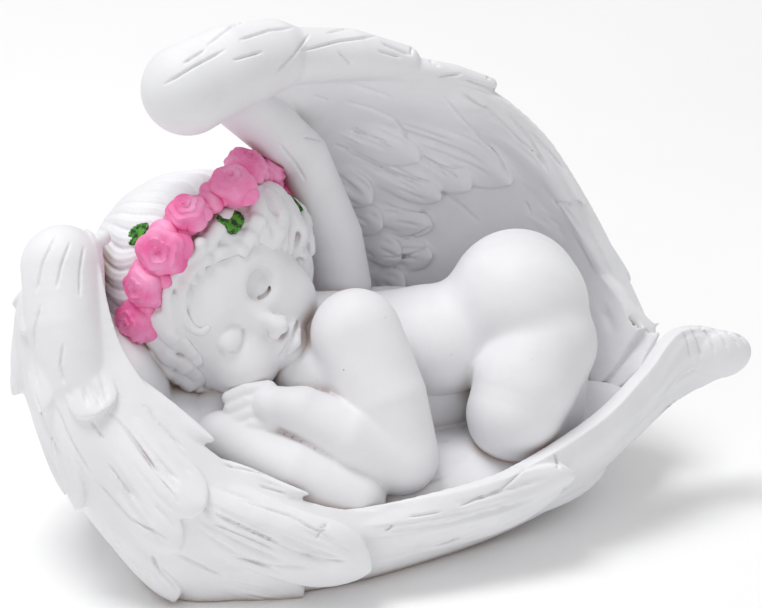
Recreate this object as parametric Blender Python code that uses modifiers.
"""Sleeping baby angel curled up in its own wings: a small figurine, cast in one piece.

Run it with blender --background --python part.py, or from the text editor.

The tables below are drawn in millimetres on a figurine DRAWN_LENGTH long, with the head at -X, the
viewer at -Y and the table at Z = 0. Everything is then scaled by SCALE to the real size in metres.
"""

import math

import bmesh
import bpy
import numpy as np
from mathutils import Matrix, Vector

FIGURE_LENGTH = 0.155  # the near wing's outer side to its last feather tip
SHELL_THICKNESS = 0.0045  # the wings' wall
FEATHER_THICKNESS = 0.0022  # how far a feather stands off the one below it
VOXEL = 0.0009  # grain of the fused casting
TRIANGLES = 9600

DRAWN_LENGTH = 155.0
SCALE = FIGURE_LENGTH / DRAWN_LENGTH
SHELL = SHELL_THICKNESS / SCALE
FEATHER = FEATHER_THICKNESS / SCALE

PLASTER_WHITE = (0.86, 0.85, 0.85, 1.0)
PLASTER_ROUGHNESS = 0.62

# Each row of a wing is one section of its outer skin, going round the figurine:
# rim point, foot point, how far the skin swells out between them, and the swell's compass heading.
NEAR_WING = (
    ((-12, 33, 34), (-10, 30, 0), 4, 90),
    ((-30, 30, 43), (-28, 28, 0), 7, 115),
    ((-44, 20, 54), (-38, 18, 0), 11, 145),
    ((-50, 7, 65), (-44, 3, 0), 15.5, 172),
    ((-49.6, -4, 67), (-44, -16, 0), 16.5, 182),
    ((-46, -16, 48.5), (-43.5, -27.5, 0), 11.8, 212),
    ((-34, -28, 34), (-35.5, -34, 0), 9.5, 225),
    ((-19, -34.5, 24), (-21, -35, 0), 5.5, 255),
    ((-3, -36.5, 18.5), (-4, -33, 0), 4.5, 268),
    ((14, -36, 19), (12, -28, 0), 4, 275),
    ((31, -32.5, 21.5), (29, -22, 1), 3.5, 290),
    ((50, -25, 27), (46, -16, 5), 3, 308),
    ((62, -17, 33), (60, -13, 14.5), 2.5, 310),
    ((72, -9, 38), (71.5, -8, 21), 1.5, 310),
    ((86, -8, 36.5), (85, -8, 25), 0.5, 300),
)
FAR_WING = (
    ((-27, 5.5, 94.5), (-20, 30, 4), 20, 28),
    ((-11, 14, 95), (-6, 31, 0), 14.5, 65),
    ((7, 20, 92.5), (12, 31, 0), 13, 88),
    ((23, 23, 88), (26, 29, 0), 11, 85),
    ((38.5, 25, 81.5), (38, 24, 3), 9, 75),
    ((50, 23.5, 70.5), (48, 18, 6), 7, 65),
    ((58, 21, 58), (56, 12, 10), 5, 55),
    ((66, 15.5, 41.5), (64, 5, 17), 3, 45),
    ((70.5, 10, 30), (69, 2, 22), 1.5, 40),
)
SECTION_SHARES = (0.0, 0.25, 0.65, 1.0)  # where a section's four points lie from rim to foot
SECTION_SWELLS = (0.0, 1.0, 0.9, 0.0)

# Rounded bones along the wings' leading edges, as (point, radius).
FAR_ROLLS = (
    (((-29, 4, 95), 9.3), ((-20, 9, 96.8), 8.8), ((-10.5, 14, 96.8), 7.6), ((-6, 16, 96.5), 5.4)),
    (((-12, 13.5, 97), 6.2), ((7, 20, 93.5), 5.4), ((19, 22.5, 90), 3.6)),
    (((14, 21.5, 90), 3.2), ((30, 24, 85.5), 2.4), ((38, 25, 82.5), 1.6)),
)
FAR_ROOT = (((5, 20, 42), 6.5), ((3.6, 22, 52), 6.5), ((-3, 20, 72), 5.5), ((-18, 14, 89), 6.2))
NEAR_ROLL = (
    ((-50, -21, 33), 5.0),
    ((-55, -14, 42), 7.2),
    ((-56.5, -8, 52), 8.2),
    ((-56, -2, 61.5), 8.4),
    ((-53.5, 11, 55), 7.0),
    ((-45, 21, 46), 5.5),
    ((-33, 28, 39), 4.0),
)
OVERHANG = 0.3  # how far past a wing's rim a feather may reach, in the units of its foot line
NEAR_KNOB = (((-47.5, -1, 66.5), 1.6),)

# Feathers: where root and tip lie on the wing (section, then rim 0 to foot 3), width, and how far
# the tip stands off as a share of FEATHER. Past the rim or the last section a tip hangs free.
NEAR_FEATHERS = (
    ((3.3, 0.3), (4.2, 0.6), 8, 0.8),
    ((3.6, 0.6), (4.1, 0.95), 7, 0.7),
    ((2.6, 0.5), (3.3, 0.95), 9, 0.8),
    ((2.0, 0.5), (2.6, 1.0), 9, 0.9),
    ((4.1, 0.25), (4.65, 0.62), 9, 0.8),
    ((4.1, 0.85), (4.45, 1.35), 8, 0.8),
    ((3.3, 1.0), (3.6, 1.6), 9, 1.1),
    ((4.55, 0.45), (5.1, 0.75), 10, 1.1),
    ((4.4, 1.1), (4.75, 1.95), 9, 1.0),
    ((3.5, 1.5), (3.9, 2.3), 10, 0.9),
    ((5.0, 0.35), (6.35, 0.9), 11, 1.1),
    ((4.9, 0.8), (6.15, 1.65), 10, 0.9),
    ((4.7, 1.4), (5.75, 2.85), 10, 0.9),
    ((5.7, 0.6), (8.1, 1.6), 15, 1.7),
    ((5.8, 1.8), (7.4, 2.9), 12, 0.8),
    ((7.4, 0.7), (10.5, 0.9), 13, 1.3),
    ((9.8, 1.2), (14.15, 1.5), 14, 0.6),
    ((1.4, 1.0), (2.0, 2.4), 12, 0.9),
    ((0.3, 0.9), (1.0, 2.4), 12, 0.9),
    ((5.2, 0.1), (6.2, -0.2), 5, 0.6),
    ((6.3, 0.1), (7.4, -0.35), 5, 0.6),
)
FAR_INNER_FEATHERS = (
    ((1.7, 0.35), (4.0, 0.02), 13, 0.3),
    ((2.0, 0.65), (6.05, 0.0), 14, 0.5),
    ((2.8, 0.95), (7.2, 0.3), 13, 0.7),
    ((3.1, 1.3), (7.8, 0.9), 11, 0.8),
    ((1.3, 0.45), (4.4, 1.0), 14, 0.7),
    ((1.4, 0.65), (3.0, 1.0), 10, 1.0),
    ((2.4, 0.8), (3.7, 1.2), 9, 1.0),
    ((1.9, 1.05), (3.3, 1.3), 8, 1.1),
    ((2.0, 1.5), (3.2, 1.5), 7, 1.0),
    ((2.3, 1.75), (3.2, 1.7), 7, 0.9),
    ((1.4, 1.15), (2.35, 1.37), 8, 1.4),
    ((1.75, 1.45), (2.5, 1.53), 7.5, 1.4),
    ((2.1, 1.65), (2.75, 1.72), 7, 1.4),
    ((2.2, 1.85), (2.8, 1.9), 6, 1.3),
)
FAR_OUTER_FEATHERS = (
    ((0.4, 0.3), (2.4, 0.5), 14, 1.0),
    ((0.2, 0.8), (2.6, 1.1), 14, 1.0),
    ((0.1, 1.4), (2.6, 1.8), 14, 1.0),
    ((1.8, 0.55), (4.3, 0.45), 13, 1.0),
    ((1.8, 1.0), (5.2, 0.85), 14, 1.0),
    ((1.8, 1.5), (5.8, 1.4), 15, 1.0),
    ((1.6, 2.1), (5.4, 2.1), 15, 1.0),
    ((3.8, 0.75), (6.8, 1.0), 11, 0.8),
    ((4.0, 1.3), (7.0, 1.7), 12, 0.8),
)

# The bed under the baby: (centre, radii), cut flat on the table.
BED = (
    ((-4, 0, 5), (45, 32, 12)),
    ((26, -2, 9), (32, 24, 9)),
    ((48, 0, 17), (20, 11, 5)),
    ((-19, 15, 20), (17, 14, 24)),
    ((-35, -3, 17), (17, 20, 17)),
    ((-47, 0, 27), (13, 20, 23)),
    ((12, 17, 22), (30, 14, 19)),
    ((14, 1, 25), (19, 11, 11)),
    ((15, -12, 12), (38, 19, 8.5)),
)

# The baby's soft masses: (centre, radii).
TORSO = (
    ((4, 3, 35.5), (14, 14, 10.5)),
    ((20, 1, 36), (16, 13.5, 11.5)),
    ((38, 0, 45), (14, 13.5, 13)),
    ((40, -6.5, 44.5), (11, 9.5, 11)),
    ((40, 7, 44.5), (11, 9.5, 10.8)),
)
# Its limbs as chains of (point, radius).
LIMBS = {
    "neck": (((-14, 5, 41), 9), ((2, 2, 36.5), 9.5)),
    "throat": (((-7.8, -7, 34.5), 7), ((2, -12, 36), 8)),
    "near_upper_arm": (((2, -11, 45), 9.3), ((6, -19, 34), 8.8), ((8.5, -24, 23), 7.8)),
    "near_forearm": (((8, -24.5, 23), 7.6), ((-1, -23, 28), 7.2), ((-10.5, -19.5, 32.5), 5.2)),
    "near_palm": (((-11, -19, 33), 4.8), ((-17.5, -18, 34), 4.4)),
    "far_upper_arm": (((0, 9, 36.5), 8), ((-28, -8, 26), 7)),
    "far_forearm": (((-27, -17, 27), 6), ((-14, -25, 22), 6.8), ((-2, -29, 17), 6.2)),
    "near_thigh": (((42, -9, 38), 11), ((36.5, -15, 32.5), 10.8), ((34, -17.5, 27.5), 9.8)),
    "near_calf": (((34, -15, 24), 7.6), ((44, -10.5, 24), 5.5)),
    "near_foot": (((44, -10.5, 24), 5.5), ((46, -9, 31), 4.6)),
    "far_thigh": (((40, 9, 42), 11), ((30, 19, 27), 9)),
    "far_calf": (((30, 19, 25), 8), ((44, 12, 24), 6)),
}
FINGER_COUNT = 4
FINGER_RADIUS = 1.7
FINGER_REACH = (-8.0, 0.5, -1.5)  # from knuckle to fingertip
KNUCKLES = ((-17, -20, 31.2), (-17, -15.5, 36.8))  # first and last knuckle

# The head and its hair. The face has its own frame: x to its upper side, y to the crown, z outwards.
HEAD_CENTRE = (-25.5, 8.5, 50.5)
SKULL_RADIUS = 19.5
FACE_CENTRE = (-21.8, 1.8, 42.7)
FACE_OUTWARD = (0.313, -0.808, 0.500)
FACE_CROWN = (-0.788, 0.073, 0.612)
FACE = (
    ((0, 0, -1), (14.2, 14.5, 14.2)),
    ((0, 8, 3), (12, 9, 11)),
    ((8.3, -4.6, 7.2), (7.8, 7.6, 7)),
    ((-7.2, -3.4, 7.3), (7.2, 6.8, 6.3)),
    ((0, -7.4, 10.2), (4.6, 3.4, 4)),
    ((0, -11.2, 8.5), (4.4, 3.4, 4)),
    ((0, -1, 14.6), (1.5, 3.2, 1.8)),
    ((0, -3.6, 16.2), (2.1, 1.8, 2.2)),
    ((0, -7, 13.8), (3.2, 1.1, 1.4)),
    ((0, -9.2, 13.5), (2.4, 1.2, 1.4)),
    ((6.2, 2.9, 11.9), (3.3, 2.6, 2)),
    ((-6.2, 2.9, 11.9), (3.3, 2.6, 2)),
)

# The wreath is a tilted ring round the head: its centre, its upper side, and its front.
WREATH_CENTRE = (-24.8, 9.5, 52.8)
WREATH_SIDE = (0.658, 0.426, 0.620)
WREATH_FRONT = (-0.286, -0.621, 0.730)
WREATH_RADIUS = 23.3
ROSE_COUNT = 15
ROSE_SIZES = (5.0, 4.2, 4.7)  # taken in turn
ROSE_DEPTH = 0.8  # of its radius
PETAL_COUNT = 5
LEAVES = ((-12, 6.5), (16, -6), (78, -6.5), (130, -5), (215, 5))  # degrees round the wreath, then to the side
LEAF = (1.8, 2.6, 1.2)

HAIR_CENTRE = (-27.5, 12.5, 49.5)
HAIR_RADIUS = 22.0
UNDER_HAIR = ((-26.5, 10.5, 50.0), 21.3)  # fills the gap between the locks and the skull
FRINGE_RADIUS = 20.6
LOCK_RADIUS = 2.3
LOCK_WAVE = 9.0  # degrees a lock swings to either side
# Locks in bands: count, from and to round the head, from and to down from the wreath's pole (degrees).
LOCK_BANDS = (
    (11, -105, 105, 92, 117),
    (9, 110, 250, 96, 150),
    (12, 0, 330, 80, 22),
)

SMOOTHING_STEPS = 4


def face_matrix():
    """From the face's own frame to the drawing's."""
    outward = Vector(FACE_OUTWARD).normalized()
    side = Vector(FACE_CROWN).cross(outward).normalized()
    crown = outward.cross(side)
    turn = Matrix((side, crown, outward)).transposed().to_4x4()
    return Matrix.Translation(FACE_CENTRE) @ turn


def wreath_axes():
    """The wreath's upper side, its front, and its pole."""
    side = Vector(WREATH_SIDE).normalized()
    pole = Vector(WREATH_FRONT).cross(side).normalized()
    return side, side.cross(pole), pole


def spline_weights(count, at):
    """Catmull-Rom weights of count points, a row for each parameter in at. It runs straight on past the ends."""
    at = np.asarray(at, float)
    start = np.clip(np.floor(at).astype(int), 0, count - 2)
    t = at - start
    pieces = (
        (-t + 2 * t**2 - t**3) / 2,
        (2 - 5 * t**2 + 3 * t**3) / 2,
        (t + 4 * t**2 - 3 * t**3) / 2,
        (-(t**2) + t**3) / 2,
    )
    weights = np.zeros((len(at), count + 2))
    rows = np.arange(len(at))
    for offset, piece in enumerate(pieces):
        weights[rows, start + offset] += piece
    # The points before the first and after the last continue the line of the two nearest.
    weights[:, 1] += 2 * weights[:, 0]
    weights[:, 2] -= weights[:, 0]
    weights[:, -2] += 2 * weights[:, -1]
    weights[:, -3] -= weights[:, -1]
    return weights[:, 1:-1]


class Skin:
    """A wing's outer skin. u counts its sections and v runs from rim (0) to foot (3)."""

    def __init__(self, rows, outward):
        self.net = np.array([self.section(*row) for row in rows], float)
        self.outward = outward
        self.last_u = len(rows) - 1
        self.last_v = len(SECTION_SHARES) - 1

    @staticmethod
    def section(rim, foot, swell, heading):
        rim, foot = np.array(rim, float), np.array(foot, float)
        angle = math.radians(heading)
        away = np.array((math.cos(angle), math.sin(angle), 0.0))
        return [
            rim + (foot - rim) * share + away * swell * part
            for share, part in zip(SECTION_SHARES, SECTION_SWELLS)
        ]

    def points(self, u, v):
        along = spline_weights(len(self.net), u)
        across = spline_weights(self.last_v + 1, v)
        return np.einsum("nu,nv,uvk->nk", along, across, self.net)

    def slopes(self, u, v, step=0.01):
        """The skin's two tangents and its outward normal."""
        u, v = np.asarray(u, float), np.asarray(v, float)
        tangent_u = (self.points(u + step, v) - self.points(u - step, v)) / (2 * step)
        tangent_v = (self.points(u, v + step) - self.points(u, v - step)) / (2 * step)
        normal = np.cross(tangent_u, tangent_v) * self.outward
        normal /= np.linalg.norm(normal, axis=1)[:, None]
        return tangent_u, tangent_v, normal


class Clay:
    """Closed lumps piled into one another, later fused. Points are in the drawing's millimetres."""

    def __init__(self):
        self.points = []
        self.faces = []
        self.count = 0
        self.ball = self.unit_ball()

    @staticmethod
    def unit_ball():
        bm = bmesh.new()
        bmesh.ops.create_icosphere(bm, subdivisions=3, radius=1.0)
        bm.verts.index_update()
        points = np.array([vert.co for vert in bm.verts])
        faces = np.array([[vert.index for vert in face.verts] for face in bm.faces])
        bm.free()
        return points, faces

    def add(self, points, faces):
        self.points.append(points)
        self.faces.extend((faces + self.count).tolist())
        self.count += len(points)

    def balls(self, masses, frame=None):
        """Ellipsoids, as (centre, radii)."""
        points, faces = self.ball
        turn = np.array(frame.to_3x3()) if frame else np.eye(3)
        origin = np.array(frame.translation) if frame else np.zeros(3)
        for centre, radii in masses:
            self.add((points * radii + centre) @ turn.T + origin, faces)

    def chain(self, chain):
        """A soft tube through (point, radius) pairs, as a row of balls a third of a radius apart."""
        for (start, start_radius), (end, end_radius) in zip(chain, chain[1:]):
            start, end = Vector(start), Vector(end)
            spacing = min(start_radius, end_radius) / 3
            count = max(2, math.ceil((end - start).length / spacing))
            for i in range(count + 1):
                share = i / count
                radius = start_radius + (end_radius - start_radius) * share
                self.balls([(start.lerp(end, share), (radius,) * 3)])

    def plate(self, columns, rows, place, normals, thickness):
        """A loft from a grid of shares, thickened against its normals."""
        across, along = np.meshgrid(np.linspace(0, 1, rows + 1), np.linspace(0, 1, columns + 1))
        along, across = along.ravel(), across.ravel()
        front = place(along, across)
        back = front - normals(along, across) * thickness
        index = np.arange(len(front)).reshape(columns + 1, rows + 1)
        quads = np.stack((index[:-1, :-1], index[1:, :-1], index[1:, 1:], index[:-1, 1:]), axis=-1).reshape(-1, 4)
        edge = np.concatenate((index[0, :-1], index[:-1, -1], index[-1, :0:-1], index[:0:-1, 0]))
        after = np.roll(edge, -1)
        count = len(front)
        sides = np.stack((edge, after, after + count, edge + count), axis=-1)
        self.add(np.concatenate((front, back)), np.concatenate((quads, quads[:, ::-1] + count, sides)))

    def mesh(self, name):
        mesh = bpy.data.meshes.new(name)
        mesh.from_pydata((np.concatenate(self.points) * SCALE).tolist(), [], self.faces)
        return mesh


def add_skin(clay, skin):
    """The wing's wall: its skin thickened inwards."""

    def place(share_u, share_v):
        return skin.points(share_u * skin.last_u, share_v * skin.last_v)

    def normals(share_u, share_v):
        return skin.slopes(share_u * skin.last_u, share_v * skin.last_v)[2]

    clay.plate(8 * skin.last_u, 10 * skin.last_v, place, normals, SHELL)


def add_feather(clay, skin, feather, inner):
    """A feather laid on the skin, or on the wall's inner face, its tip standing off."""
    root, tip, width, lift = feather
    root, tip = np.array(root, float), np.array(tip, float)
    step = tip - root

    def centre(share):
        return root[0] + step[0] * share, root[1] + step[1] * share

    def place(share, across):
        u, v = centre(share)
        tangent_u, tangent_v, normal = skin.slopes(u, v)
        along = tangent_u * step[0] + tangent_v * step[1]
        aside = np.cross(normal, along)
        aside /= np.linalg.norm(aside, axis=1)[:, None]
        uu = np.einsum("nk,nk->n", tangent_u, tangent_u)
        uv = np.einsum("nk,nk->n", tangent_u, tangent_v)
        vv = np.einsum("nk,nk->n", tangent_v, tangent_v)
        au = np.einsum("nk,nk->n", tangent_u, aside)
        av = np.einsum("nk,nk->n", tangent_v, aside)
        spread = (across - 0.5) * width * feather_outline(share)
        whole = uu * vv - uv * uv
        u = skin.last_u - held(skin.last_u - held(u + spread * (au * vv - av * uv) / whole))
        v = held(v + spread * (av * uu - au * uv) / whole)
        height = FEATHER * (lift * share - 0.35 * (1 - share) - 0.35 * (2 * across - 1) ** 2)
        normal = skin.slopes(u, v)[2]
        if inner:
            return skin.points(u, v) - normal * (SHELL + height)[:, None]
        return skin.points(u, v) + normal * height[:, None]

    def normals(share, across):
        normal = skin.slopes(*centre(share))[2]
        return -normal if inner else normal

    clay.plate(14, 6, place, normals, FEATHER)


def held(value):
    """The value, but below nothing it only creeps towards -OVERHANG."""
    return np.where(value < 0, OVERHANG * (np.exp(np.minimum(value, 0) / OVERHANG) - 1), value)


def feather_outline(share):
    """A feather's width along its length: slim at the root, round at the tip."""
    body = 0.55 + 0.45 * np.sin(np.minimum(share / 0.6, 1) * math.pi / 2)
    tip = np.sqrt(np.clip(1 - (np.maximum(share - 0.72, 0) / 0.28) ** 2, 0.02, 1))
    return body * tip


def add_hand(clay):
    """Four fingers lying side by side, reaching under the cheek."""
    first, last, reach = (Vector(item) for item in (*KNUCKLES, FINGER_REACH))
    for i in range(FINGER_COUNT):
        knuckle = first.lerp(last, i / (FINGER_COUNT - 1))
        clay.chain(((knuckle, FINGER_RADIUS), (knuckle + reach, FINGER_RADIUS * 0.85)))


def on_head(radius, around, down):
    """A point round the head: degrees round from the wreath's front, and down from its pole."""
    side, front, pole = wreath_axes()
    around, down = math.radians(around), math.radians(down)
    level = front * math.cos(around) + side * math.sin(around)
    return Vector(HEAD_CENTRE) + (level * math.sin(down) + pole * math.cos(down)) * radius


def add_hair(clay):
    for centre, radius in ((HAIR_CENTRE, HAIR_RADIUS), UNDER_HAIR):
        clay.balls([(centre, (radius,) * 3)])
    for band, (count, start, end, top, bottom) in enumerate(LOCK_BANDS):
        for i in range(count):
            around = start + (end - start) * i / (count - 1)
            swing = LOCK_WAVE * (-1) ** (i + band)
            chain = []
            for share in (0, 0.2, 0.4, 0.6, 0.8, 1.0):
                angle = around + swing * math.sin(share * 2 * math.pi)
                down = top + (bottom - top) * share
                reach = HAIR_RADIUS if band else FRINGE_RADIUS - 2.2 * share
                radius = reach + LOCK_RADIUS * (0.15 + 0.35 * math.sin(share * math.pi))
                chain.append((on_head(radius, angle, down), LOCK_RADIUS * (1 - 0.35 * share)))
            clay.chain(chain)


def wreath_matrix(around, aside):
    """A flower's frame on the wreath, z pointing outwards."""
    side, front, pole = wreath_axes()
    angle = math.radians(around)
    outward = front * math.cos(angle) + side * math.sin(angle)
    place = Vector(WREATH_CENTRE) + outward * WREATH_RADIUS + pole * aside
    return Matrix.Translation(place) @ Matrix((pole.cross(outward), pole, outward)).transposed().to_4x4()


def add_wreath(clay):
    """Roses in a ring, each a flattened ball with petals round a bud, and a few leaves beside them."""
    for i in range(ROSE_COUNT):
        radius = ROSE_SIZES[i % len(ROSE_SIZES)]
        aside = 0.9 * (-1) ** i
        petals = [((0, 0, 0), (radius * 0.8, radius * 0.8, radius * ROSE_DEPTH))]
        for j in range(PETAL_COUNT):
            angle = 2 * math.pi * j / PETAL_COUNT + i
            middle = (math.cos(angle) * radius * 0.62, math.sin(angle) * radius * 0.62, radius * 0.12)
            petals.append((middle, (radius * 0.42, radius * 0.42, radius * 0.5)))
        petals.append(((0, 0, radius * 0.5), (radius * 0.36, radius * 0.36, radius * 0.5)))
        clay.balls(petals, wreath_matrix(360 * i / ROSE_COUNT, aside))
    for around, aside in LEAVES:
        clay.balls([((0, 0, 0), LEAF)], wreath_matrix(around, aside))


def collection(name):
    made = bpy.data.collections.new(name)
    bpy.context.scene.collection.children.link(made)
    return made


def fused(clay, name):
    """All the clay as one closed, softened skin."""
    whole = bpy.data.objects.new(name, clay.mesh(name))
    collection("figurine").objects.link(whole)
    remesh = whole.modifiers.new("fuse", "REMESH")
    remesh.mode = "VOXEL"
    remesh.voxel_size = VOXEL
    smooth = whole.modifiers.new("soften", "SMOOTH")
    smooth.factor = 0.5
    smooth.iterations = SMOOTHING_STEPS
    return whole


def levelled(whole):
    """Cut flat on the table by a block, which stays hidden in a collection of its own."""
    bm = bmesh.new()
    bmesh.ops.create_cube(bm, size=4 * FIGURE_LENGTH)
    mesh = bpy.data.meshes.new("table_cutter")
    bm.to_mesh(mesh)
    bm.free()
    block = bpy.data.objects.new("table_cutter", mesh)
    block.location.z = -2 * FIGURE_LENGTH
    block.hide_render = True
    block.display_type = "WIRE"
    collection("cutters").objects.link(block)
    cut = whole.modifiers.new("table", "BOOLEAN")
    cut.operation = "DIFFERENCE"
    cut.solver = "EXACT"
    cut.object = block


def applied(whole):
    """The object's mesh with its modifiers applied."""
    graph = bpy.context.evaluated_depsgraph_get()
    mesh = bpy.data.meshes.new_from_object(whole.evaluated_get(graph))
    whole.modifiers.clear()
    old = whole.data
    whole.data = mesh
    bpy.data.meshes.remove(old)


def in_one_piece(whole):
    """Without the crumbs that stand apart from the casting."""
    bm = bmesh.new()
    bm.from_mesh(whole.data)
    pieces = []
    unseen = set(bm.verts)
    while unseen:
        piece, edge = set(), [unseen.pop()]
        while edge:
            vert = edge.pop()
            piece.add(vert)
            near = {link.other_vert(vert) for link in vert.link_edges} & unseen
            unseen -= near
            edge.extend(near)
        pieces.append(piece)
    pieces.sort(key=len)
    crumbs = [vert for piece in pieces[:-1] for vert in piece]
    bmesh.ops.delete(bm, geom=crumbs, context="VERTS")
    bm.to_mesh(whole.data)
    bm.free()


def thinned(whole):
    """A decimation down to the wanted number of triangles."""
    thin = whole.modifiers.new("thin", "DECIMATE")
    thin.use_collapse_triangulate = True
    thin.ratio = TRIANGLES / (2 * len(whole.data.polygons))


def centred(whole):
    """Moved so that it stands on the table round the scene's origin."""
    places = np.array([vert.co for vert in whole.data.vertices])
    middle = (places.min(axis=0) + places.max(axis=0)) / 2
    whole.data.transform(Matrix.Translation((-middle[0], -middle[1], 0)))


def plaster():
    material = bpy.data.materials.new("white_plaster")
    material.use_nodes = True
    shader = material.node_tree.nodes["Principled BSDF"]
    shader.inputs["Base Color"].default_value = PLASTER_WHITE
    shader.inputs["Roughness"].default_value = PLASTER_ROUGHNESS
    return material


def clear_scene():
    for old in list(bpy.data.objects):
        bpy.data.objects.remove(old)


def main():
    clear_scene()
    clay = Clay()
    clay.balls(BED)
    near, far = Skin(NEAR_WING, -1), Skin(FAR_WING, 1)
    add_skin(clay, near)
    add_skin(clay, far)
    for feather in NEAR_FEATHERS:
        add_feather(clay, near, feather, False)
    for feather in FAR_INNER_FEATHERS:
        add_feather(clay, far, feather, True)
    for feather in FAR_OUTER_FEATHERS:
        add_feather(clay, far, feather, False)
    for chain in (*FAR_ROLLS, FAR_ROOT, NEAR_ROLL, *LIMBS.values()):
        clay.chain(chain)
    clay.balls([(centre, (radius,) * 3) for centre, radius in NEAR_KNOB])
    clay.balls(TORSO)
    clay.balls([(HEAD_CENTRE, (SKULL_RADIUS,) * 3)])
    clay.balls(FACE, face_matrix())
    add_hand(clay)
    add_hair(clay)
    add_wreath(clay)
    whole = fused(clay, "sleeping_angel")
    applied(whole)
    in_one_piece(whole)
    thinned(whole)
    applied(whole)
    in_one_piece(whole)
    levelled(whole)
    applied(whole)
    centred(whole)
    whole.data.materials.clear()
    whole.data.materials.append(plaster())


if __name__ == "__main__":
    main()
